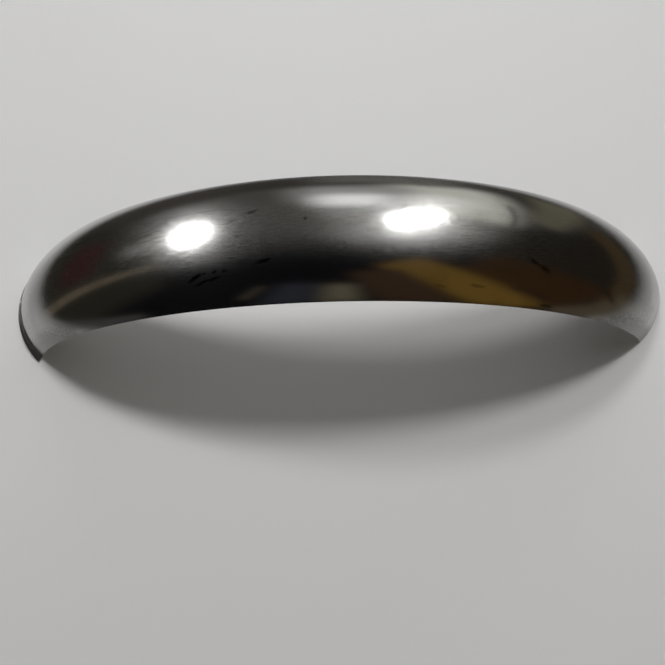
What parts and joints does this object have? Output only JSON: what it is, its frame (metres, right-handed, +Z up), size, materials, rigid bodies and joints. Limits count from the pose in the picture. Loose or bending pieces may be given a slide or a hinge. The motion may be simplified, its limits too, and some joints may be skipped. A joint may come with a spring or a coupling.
{
  "type": "motorcycle mudguard",
  "caption": "Bare steel motorcycle mudguard blade: a domed strip curved along the wheel's arc, with a turned-out lip at one end, a plain cut at the other and no holes.",
  "frame": {"origin": "on the surface that the two ends stand on, straight below the middle of the crown", "axes": "+X along the blade towards its plain end, +Y across it, +Z up through the crown"},
  "size_m": [0.6466, 0.1068, 0.2077],
  "materials": {
    "polished_steel": "bare mild steel, planished and roughly polished, with faint scuffs and dark specks"
  },
  "bodies": {
    "root": {"mudguard_blade": "polished_steel"}
  },
  "joints": []
}
